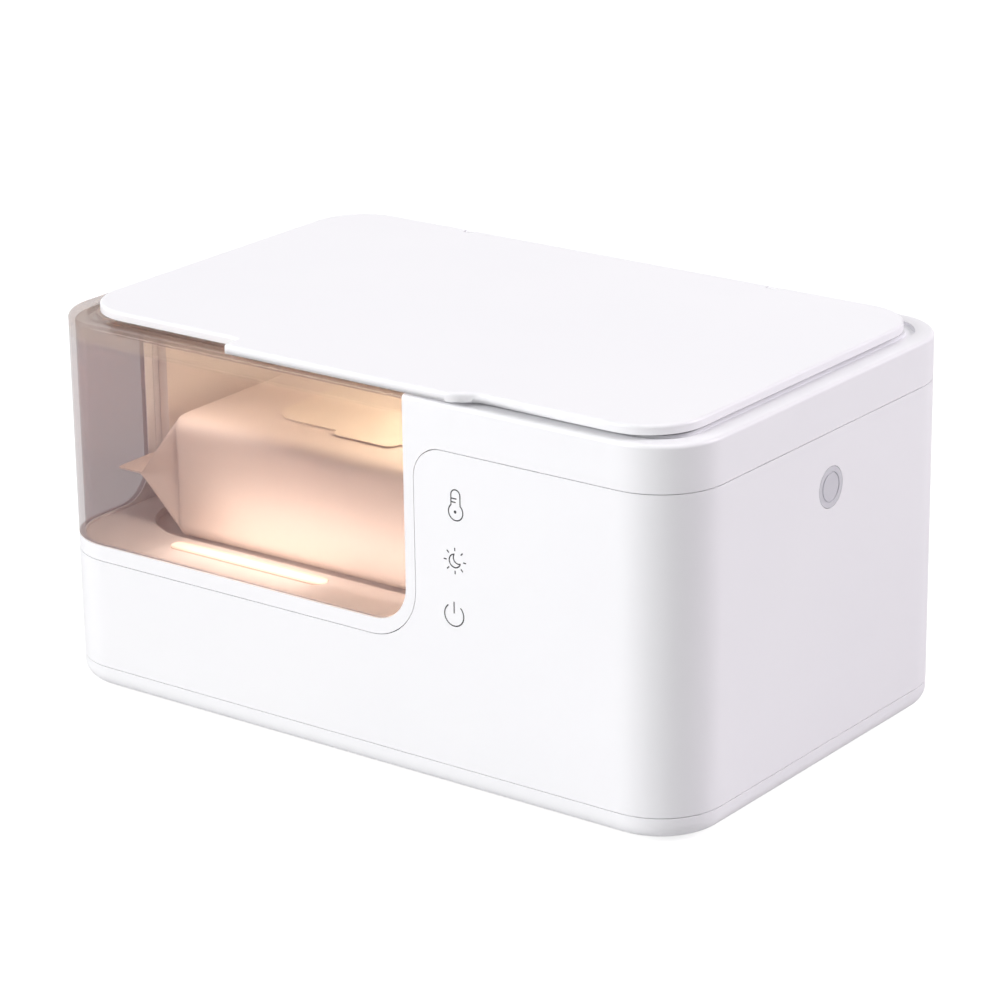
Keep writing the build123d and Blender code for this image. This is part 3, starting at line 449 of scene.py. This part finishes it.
def film(name, colour, deep_colour, roughness):
    """Thin glossy film with ripples along its length and a very fine grain over them."""
    material, tree = new_material(name)
    place = add_node(tree, "ShaderNodeTexCoord").outputs["Object"]
    along = add_node(tree, "ShaderNodeMapping", values={"Scale": (RIPPLE_STRETCH, 1.0, 1.0)},
                     links={"Vector": place})
    ripple, tint = drifting(tree, along.outputs["Vector"], RIPPLE_MM, RIPPLE_DETAIL,
                            colour, deep_colour)
    fine = add_node(tree, "ShaderNodeTexNoise", values={"Scale": per_mm(FILM_GRAIN_MM)},
                    links={"Vector": place})
    broad = add_node(tree, "ShaderNodeBump",
                     values={"Strength": RIPPLE_STRENGTH, "Distance": RIPPLE_DEPTH_MM * MM},
                     links={"Height": ripple})
    bump = add_node(tree, "ShaderNodeBump",
                    values={"Strength": FILM_GRAIN_STRENGTH, "Distance": FILM_GRAIN_DEPTH_MM * MM},
                    links={"Height": fine.outputs["Fac"], "Normal": broad.outputs["Normal"]})
    shader = add_node(tree, "ShaderNodeBsdfPrincipled",
                      values={"Roughness": roughness, "IOR": FILM_IOR},
                      links={"Base Color": tint, "Normal": bump.outputs["Normal"]})
    add_node(tree, "ShaderNodeOutputMaterial", links={"Surface": shader.outputs["BSDF"]})
    return material


# laminated film: a soft highlight, broken up by the ripples, and the label's film a little glossier
PACK_FILM = film("laminated_pack_film", "#E8DAD0", "#E2D2C7", 0.42)
LABEL_FILM = film("resealable_label_film", "#F0E3D4", "#EADBCA", 0.35)
print("film ripples are about", RIPPLE_MM, "mm wide and", RIPPLE_MM / RIPPLE_STRETCH, "mm long")

# %% [markdown]
# ## Wipes pack: the body
# A wipes pack is a tube of film round a block, closed by a flat crimped fin at each end. A ring
# of points is set out as a rounded rectangle and is then extruded along the pack, station by
# station: each station squeezes the ring's height, so the film comes down to the fin, and the
# sides fold in behind it. The fin's stations step up and down a little, which makes the crimp
# lines.

# %% Pack body
pack_low, pack_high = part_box("wipe_pack")
pack_middle = (pack_low + pack_high) / 2
PACK_LENGTH = (pack_high.x - pack_low.x) / MM
PACK_WIDTH = (pack_high.y - pack_low.y) / MM
PACK_HEIGHT = (pack_high.z - pack_low.z) / MM
FIN_MM = 12.5
FIN_THICK_MM = 0.9
FIN_DROP_MM = 1.5
CRIMPS = 10
CRIMP_STEP_MM = 0.5
GUSSET_MM = 17.5
# where the rings stand between the fin and the block, as shares of that length
GUSSET_SHARES = (0.1, 0.3, 0.5, 0.7, 0.86, 0.95)
GUSSET_BULGE = 0.9
SHOULDER_MM = 0.2
SHOULDER_SHARE = 0.99
BLOCK_STATIONS_MM = (0.3, 1.5, 6.0, 25.0, 60.0)
EDGE_ROUND_MM = 5.5
EDGE_STEPS = 4
SIDE_STEPS = 8
TOP_STEPS = 10
SIDE_TUCK_MM = 7.0
SIDE_SHARE = 0.4
SWELL_MM = 0.8
FILM_MARGIN_MM = 0.35


def pack_ring():
    """Points (y, z) in millimetres round the pack: flat sides and tight round edges."""
    half_y = PACK_WIDTH / 2 - FILM_MARGIN_MM
    half_z = PACK_HEIGHT / 2 - FILM_MARGIN_MM
    points = []
    for quarter, (side_y, side_z) in enumerate(((1, 1), (-1, 1), (-1, -1), (1, -1))):
        centre_y = side_y * (half_y - EDGE_ROUND_MM)
        centre_z = side_z * (half_z - EDGE_ROUND_MM)
        for number in range(EDGE_STEPS + 1):
            angle = math.radians(90 * (quarter + number / EDGE_STEPS))
            points.append((centre_y + EDGE_ROUND_MM * math.cos(angle),
                           centre_z + EDGE_ROUND_MM * math.sin(angle)))
        steps = SIDE_STEPS if quarter % 2 else TOP_STEPS
        flat_y = 0 if quarter % 2 else -2 * side_y * (half_y - EDGE_ROUND_MM)
        flat_z = -2 * side_z * (half_z - EDGE_ROUND_MM) if quarter % 2 else 0
        last_y, last_z = points[-1]
        for number in range(1, steps):
            points.append((last_y + flat_y * number / steps, last_z + flat_z * number / steps))
    return points


def pack_stations():
    """Distance from the left tip, share of full height and crimp lift of each ring, in order."""
    fin_share = FIN_THICK_MM / PACK_HEIGHT
    half = []
    for number in range(CRIMPS + 1):
        lift = CRIMP_STEP_MM * (1 if number % 2 else -1)
        half.append((FIN_MM * number / CRIMPS, fin_share, lift))
    for share in GUSSET_SHARES:
        height = fin_share + (1 - fin_share) * share ** GUSSET_BULGE
        half.append((FIN_MM + GUSSET_MM * share, height, 0.0))
    block_start = FIN_MM + GUSSET_MM
    half.append((block_start - SHOULDER_MM, SHOULDER_SHARE, 0.0))
    for distance in BLOCK_STATIONS_MM:
        half.append((block_start + distance, 1.0, 0.0))
    other = [(PACK_LENGTH - x, height, lift) for x, height, lift in reversed(half)]
    return half + other


def make_pack():
    """The ring extruded along the stations, with each point moved to its place in the pack."""
    stations = pack_stations()
    ring = pack_ring()
    bpy.ops.object.select_all(action="DESELECT")
    bpy.ops.mesh.primitive_circle_add(vertices=len(ring), radius=MM, fill_type="NOTHING")
    piece = bpy.context.object
    piece.name = "wipes_pack"
    bpy.ops.object.mode_set(mode="EDIT")
    bpy.ops.mesh.select_all(action="SELECT")
    bpy.ops.mesh.edge_face_add()
    for _ in stations[1:]:
        bpy.ops.mesh.extrude_region_move(TRANSFORM_OT_translate={"value": (MM, 0, 0)})
    bpy.ops.object.mode_set(mode="OBJECT")
    for number, (x, height, lift) in enumerate(stations):
        from_tip = min(x, PACK_LENGTH - x)
        # the fold is deepest right behind the block's end, and runs out at the fin
        share = (from_tip - FIN_MM) / GUSSET_MM
        fold = SIDE_TUCK_MM * share if 0.0 < share < 1.0 else 0.0
        for point, (ring_y, ring_z) in enumerate(ring):
            level = abs(ring_z) / (PACK_HEIGHT / 2)
            # the sides fold inward at the ends, and the top and underside swell towards the middle
            inward = fold * (1 - level) if abs(ring_y) > PACK_WIDTH * SIDE_SHARE else 0.0
            along = math.sin(math.pi * x / PACK_LENGTH)
            across = math.cos(math.pi * ring_y / PACK_WIDTH)
            swell = SWELL_MM * along * across * level * height
            y = ring_y - math.copysign(inward, ring_y)
            z = ring_z * height - math.copysign(SWELL_MM * height * along, ring_z) * level
            z += math.copysign(swell, ring_z) + lift - FIN_DROP_MM * (1 - height)
            vertex = piece.data.vertices[number * len(ring) + point]
            vertex.co = (pack_low.x + x * MM, pack_middle.y + y * MM, pack_middle.z + z * MM)
    return piece


pack = make_pack()
select_only(pack)
bpy.ops.object.mode_set(mode="EDIT")
bpy.ops.mesh.select_all(action="SELECT")
bpy.ops.mesh.normals_make_consistent(inside=False)
bpy.ops.object.mode_set(mode="OBJECT")
smooth = pack.modifiers.new("taut_film", "SUBSURF")
smooth.levels = smooth.render_levels = 1
apply_modifiers(pack)
bpy.ops.object.shade_smooth()
pack.data.materials.append(PACK_FILM)
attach(pack, "body")
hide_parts("wipe_pack")
print("pack rings:", len(pack_stations()), "faces:", len(pack.data.polygons))

# %% [markdown]
# ## Wipes pack: the label
# The label seals the slot in the pack's top. It is a second film with round corners and a pull
# tab at its front edge. A plane gets its corners by a vertex bevel, is cut into a grid, laid down
# on the pack by a Shrinkwrap modifier, and thickened outwards, so it follows the film under it.

# %% Pack label
label_low, label_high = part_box("pack_label")
LABEL_LIFT_MM = 0.25
LABEL_THICK_MM = 0.35
LABEL_CORNER_MM = 12.0
CORNER_SEGMENTS = 8
CUT_MM = 6.0


def lay_on_pack(piece_name, low_corner, high_corner, corner_mm, lift_mm):
    """A film with round corners between two points (x, y) in metres, laid down on the pack."""
    bpy.ops.object.select_all(action="DESELECT")
    middle = [(low_corner[axis] + high_corner[axis]) / 2 for axis in range(2)]
    bpy.ops.mesh.primitive_plane_add(size=1.0, location=(*middle, label_high.z + MM))
    piece = bpy.context.object
    piece.name = piece_name
    piece.scale = (high_corner[0] - low_corner[0], high_corner[1] - low_corner[1], 1.0)
    apply_place(piece)
    bpy.ops.object.mode_set(mode="EDIT")
    bpy.ops.mesh.select_all(action="SELECT")
    bpy.ops.mesh.bevel(offset=corner_mm * MM, segments=CORNER_SEGMENTS, affect="VERTICES")
    for axis in range(2):
        start = low_corner[axis]
        length = high_corner[axis] - start
        count = int(length / (CUT_MM * MM))
        normal = [0.0, 0.0, 0.0]
        normal[axis] = 1.0
        for number in range(1, count):
            bpy.ops.mesh.select_all(action="SELECT")
            point = [0.0, 0.0, 0.0]
            point[axis] = start + length * number / count
            bpy.ops.mesh.bisect(plane_co=point, plane_no=normal)
    bpy.ops.object.mode_set(mode="OBJECT")
    wrap = piece.modifiers.new("lie_down", "SHRINKWRAP")
    wrap.target = pack
    wrap.wrap_method = "PROJECT"
    wrap.use_project_z = True
    wrap.use_negative_direction = True
    wrap.use_positive_direction = False
    wrap.offset = lift_mm * MM
    thick = piece.modifiers.new("film_thickness", "SOLIDIFY")
    thick.thickness = LABEL_THICK_MM * MM
    thick.offset = 1.0
    apply_modifiers(piece)
    bpy.ops.object.shade_smooth_by_angle(angle=SMOOTH_ANGLE)
    piece.data.materials.append(LABEL_FILM)
    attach(piece, "body")
    return piece


label = lay_on_pack("resealable_label", (label_low.x, label_low.y), (label_high.x, label_high.y),
                    LABEL_CORNER_MM, LABEL_LIFT_MM)
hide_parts("pack_label")
TAB_LOW_X = -43 * MM
TAB_HIGH_X = -14 * MM
TAB_REACH = 5 * MM
TAB_CORNER_MM = 4.0
lay_on_pack("label_pull_tab", (TAB_LOW_X, label_low.y - TAB_REACH),
            (TAB_HIGH_X, label_low.y + TAB_REACH), TAB_CORNER_MM, LABEL_LIFT_MM + LABEL_THICK_MM)
print("label faces:", len(label.data.polygons))

# %% [markdown]
# ## Touch symbols
# The symbols on the front wall are screen printed: matt dark grey ink, only a few hundredths of a
# millimetre thick. An image on the wall would blur close up. So each symbol is a set of thin
# strokes, drawn as curves in the plane of the wall, turned to a mesh and pressed nearly flat
# against it. The wall lies a little behind the frontmost point of the frame, which is the lid's
# tab.

# %% Ink and strokes
SCREEN_INK = grained("grey_screen_ink", "#333236", "#2E2D31", 0.6, 0.005, 0.6)
LID_TAB_OVERHANG_MM = 2.0
WALL_Y = low[1] + LID_TAB_OVERHANG_MM * MM
INK_PROUD_MM = 0.06
INK_WIDTH_MM = 0.5
STROKE_RESOLUTION = 3
ARC_STEPS = 28


def arc(x, z, radius, start_degrees, end_degrees):
    """Points (x, z) in millimetres along an arc, its angles anticlockwise from the right."""
    points = []
    for number in range(ARC_STEPS + 1):
        angle = math.radians(start_degrees + (end_degrees - start_degrees) * number / ARC_STEPS)
        points.append((x + radius * math.cos(angle), z + radius * math.sin(angle)))
    return points


def print_symbol(piece_name, strokes, width_mm=INK_WIDTH_MM):
    """Strokes are lists of (x, z) points in millimetres on the front wall."""
    curve = bpy.data.curves.new(piece_name, "CURVE")
    curve.dimensions = "3D"
    curve.bevel_depth = width_mm / 2 * MM
    curve.bevel_resolution = STROKE_RESOLUTION
    curve.use_fill_caps = True
    for points in strokes:
        spline = curve.splines.new("POLY")
        spline.points.add(len(points) - 1)
        for point, (x, z) in zip(spline.points, points):
            point.co = (x * MM, 0.0, z * MM, 1.0)
    piece = bpy.data.objects.new(piece_name, curve)
    bpy.context.scene.collection.objects.link(piece)
    select_only(piece)
    bpy.ops.object.convert(target="MESH")
    piece = bpy.context.object
    piece.scale = (1.0, INK_PROUD_MM / (width_mm / 2), 1.0)
    piece.location = (0.0, WALL_Y, 0.0)
    apply_place(piece)
    bpy.ops.object.shade_smooth()
    piece.data.materials.append(SCREEN_INK)
    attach(piece, "body")
    print(piece_name, "has", len(piece.data.polygons), "faces")


print("front wall is at y =", round(WALL_Y / MM, 1), "mm")

# %% [markdown]
# ## The three symbols
# A thermometer stands for the heat, a moon within a sun's rays for the light, and below them is
# the usual power mark. Lines and arcs are all they need, so each is drawn from its real sizes and
# places on the wall, in millimetres.

# %% Thermometer
STEM_X = 49.35
STEM_HALF = 1.95
STEM_TOP_Z = 111.75
BULB_Z = 105.6
BULB_RADIUS = 3.1
NECK_DEGREES = 51.0
TICKS = ((110.4, 0.45), (109.1, 0.1))
DOT_X = STEM_X - 0.25
DOT_RADIUS = 0.3
DOT_WIDTH_MM = 0.58
outline = arc(STEM_X, STEM_TOP_Z, STEM_HALF, 0, 180)
outline += arc(STEM_X, BULB_Z, BULB_RADIUS, 180 - NECK_DEGREES, 360 + NECK_DEGREES)
outline.append(outline[0])
ticks = [[(STEM_X - STEM_HALF, z), (STEM_X + past_middle, z)] for z, past_middle in TICKS]
print_symbol("heat_symbol", [outline] + ticks)
print_symbol("heat_dot", [arc(DOT_X, BULB_Z, DOT_RADIUS, 0, 360)], DOT_WIDTH_MM)

# %% Moon in a sun's rays
MOON_X, MOON_Z, MOON_RADIUS = 48.65, 87.6, 2.45
# each arc of the crescent runs from one horn to the other, between these angles in degrees
MOON_FROM, MOON_TO = 95, 342
SHADE_X, SHADE_Z, SHADE_RADIUS = 50.1, 88.8, 2.1
SHADE_FROM, SHADE_TO = 295, 142
RAYS = 8
RAY_ENDS = (3.6, 4.85)
rays = []
for number in range(RAYS):
    angle = 2 * math.pi * number / RAYS
    rays.append([(MOON_X + end * math.cos(angle), MOON_Z + end * math.sin(angle))
                 for end in RAY_ENDS])
# the crescent is what one circle leaves of another: round the outer one, back along the inner one
crescent = arc(MOON_X, MOON_Z, MOON_RADIUS, MOON_FROM, MOON_TO)
crescent += arc(SHADE_X, SHADE_Z, SHADE_RADIUS, SHADE_FROM, SHADE_TO)
crescent.append(crescent[0])
print_symbol("light_symbol", rays + [crescent])

# %% Power mark
POWER_X = 47.95
POWER_Z = 67.5
POWER_RADIUS = 4.15
# the ring is open at the top, where the bar stands, so it starts left of it and ends right of it
POWER_FROM, POWER_TO = 127, 408
BAR_ENDS = (0.6, 4.9)
ring = arc(POWER_X, POWER_Z, POWER_RADIUS, POWER_FROM, POWER_TO)
print_symbol("power_symbol", [ring, [(POWER_X, POWER_Z + end) for end in BAR_ENDS]])

# %% [markdown]
# ## Floor and backdrop
# The floor is one large pale sheet under a white room. Both look white, but neither lights the
# object as strongly as that: a Light Path node tells the rays that show them to the camera from
# the rays that carry their light elsewhere. The floor keeps a plain grey paint under its glow, so
# the object's contact shadow stays. Its glow rises with distance, where the lamps no longer reach
# it.

# %% Floor
WHITE = (1, 1, 1, 1)
FLOOR_SIZE = 30.0
FLOOR_DROP = 0.0002
FLOOR_GREY = (0.5, 0.5, 0.5, 1)
FLOOR_GLOW = 0.16
FLOOR_SEEN_GLOW = 0.74
FLOOR_FADE_NEAR = 0.8
FLOOR_FADE_FAR = 2.5


def shown_rays(tree, mirrored):
    """1 for the rays that show a surface to the camera, and 0 for those that light other things."""
    path = add_node(tree, "ShaderNodeLightPath").outputs
    shown = add_node(tree, "ShaderNodeMath", {"operation": "MAXIMUM"},
                     links={0: path["Is Camera Ray"], 1: path["Is Transmission Ray"]})
    if mirrored:
        shown = add_node(tree, "ShaderNodeMath", {"operation": "MAXIMUM"},
                         links={0: shown.outputs["Value"], 1: path["Is Glossy Ray"]})
    return shown.outputs["Value"]


PALE_FLOOR, tree = new_material("pale_floor")
paint = add_node(tree, "ShaderNodeBsdfDiffuse", values={"Color": FLOOR_GREY})
place = add_node(tree, "ShaderNodeTexCoord")
reach = add_node(tree, "ShaderNodeVectorMath", {"operation": "LENGTH"},
                 links={0: place.outputs["Object"]})
fade = add_node(tree, "ShaderNodeMapRange",
                values={"From Min": FLOOR_FADE_NEAR, "From Max": FLOOR_FADE_FAR,
                        "To Min": FLOOR_SEEN_GLOW, "To Max": 1.0},
                links={"Value": reach.outputs["Value"]})
level = add_node(tree, "ShaderNodeMapRange", values={"To Min": FLOOR_GLOW},
                 links={"Value": shown_rays(tree, mirrored=False),
                        "To Max": fade.outputs["Result"]})
glow = add_node(tree, "ShaderNodeEmission", values={"Color": WHITE},
                links={"Strength": level.outputs["Result"]})
both = add_node(tree, "ShaderNodeAddShader",
                links={0: paint.outputs["BSDF"], 1: glow.outputs["Emission"]})
add_node(tree, "ShaderNodeOutputMaterial", links={"Surface": both.outputs["Shader"]})

bpy.ops.object.select_all(action="DESELECT")
bpy.ops.mesh.primitive_plane_add(size=FLOOR_SIZE, location=(0, 0, -FLOOR_DROP))
floor = bpy.context.object
floor.name = "floor"
floor.data.materials.append(PALE_FLOOR)
print("floor is", FLOOR_SIZE, "m wide and lies", round(FLOOR_DROP / MM, 1), "mm under the feet")

# %% World
AMBIENT = 0.08
world = bpy.data.worlds.new("soft_room")
bpy.context.scene.world = world
world.use_nodes = True
tree = world.node_tree
tree.nodes.clear()
level = add_node(tree, "ShaderNodeMapRange", values={"To Min": AMBIENT, "To Max": 1.0},
                 links={"Value": shown_rays(tree, mirrored=True)})
sky = add_node(tree, "ShaderNodeBackground", values={"Color": WHITE},
               links={"Strength": level.outputs["Result"]})
add_node(tree, "ShaderNodeOutputWorld", links={"Surface": sky.outputs["Background"]})
print("the world gives", AMBIENT, "of the light that it shows")

# %% [markdown]
# ## Lamps
# Three large soft lamps light the room: one in front and to the left, a dimmer one behind and to
# the right, so that the right side stays a little darker than the front, and a wide one overhead.
# The light bar's own emission would need many samples to reach the chamber evenly. Five small
# warm lamps stand for its glow instead: on the ledge, on the pack's front and top, in the left
# corner and on the rear wall. They don't show in the window's gloss.

# %% Lamps
WARM = "#FFECDE"
CREAM = "#FFF0D4"
# name, place, target, width and height (all in metres), watts and colour
ROOM_LAMPS = (
    ("key_lamp", (-1.7, -3.2, 1.6), (0, 0, 0.07), (2.2, 2.2), 131, "#FFFFFF"),
    ("side_lamp", (3.0, 2.2, 2.2), (0, 0, 0.07), (2.0, 2.0), 118, "#FFF7FF"),
    ("top_lamp", (0.0, 0.3, 5.0), (0, 0, 0.1), (4.0, 4.0), 84, "#FFFFFF"),
)
CHAMBER_LAMPS = (
    ("ledge_glow", (-0.061, -0.0755, 0.067), (-0.061, -0.0755, 0.058), (0.070, 0.014), 0.010, WARM),
    ("front_glow", (-0.020, -0.081, 0.066), (-0.020, -0.060, 0.086), (0.13, 0.010), 0.048, WARM),
    ("top_glow", (0.030, -0.010, 0.137), (0.030, -0.010, 0.107), (0.12, 0.10), 0.135, CREAM),
    ("left_glow", (-0.098, -0.070, 0.130), (-0.098, -0.070, 0.060), (0.06, 0.02), 0.034, WARM),
    ("rear_glow", (-0.020, 0.050, 0.118), (-0.020, 0.085, 0.118), (0.10, 0.03), 0.24, CREAM),
)


def area_lamp(lamp_name, place, target, size, watts, colour, mirrored):
    """A rectangle of light that faces its target and isn't seen by the camera."""
    data = bpy.data.lights.new(lamp_name, "AREA")
    data.shape = "RECTANGLE"
    data.size, data.size_y = size
    data.energy = watts
    data.color = linear(colour)[:3]
    lamp = bpy.data.objects.new(lamp_name, data)
    lamp.location = place
    lamp.rotation_euler = (Vector(target) - Vector(place)).to_track_quat("-Z", "Y").to_euler()
    lamp.visible_camera = False
    lamp.visible_glossy = mirrored
    bpy.context.scene.collection.objects.link(lamp)


for lamp_row in ROOM_LAMPS:
    area_lamp(*lamp_row, mirrored=True)
for lamp_row in CHAMBER_LAMPS:
    area_lamp(*lamp_row, mirrored=False)
print("lamps:", len(ROOM_LAMPS), "in the room and", len(CHAMBER_LAMPS), "in the chamber")
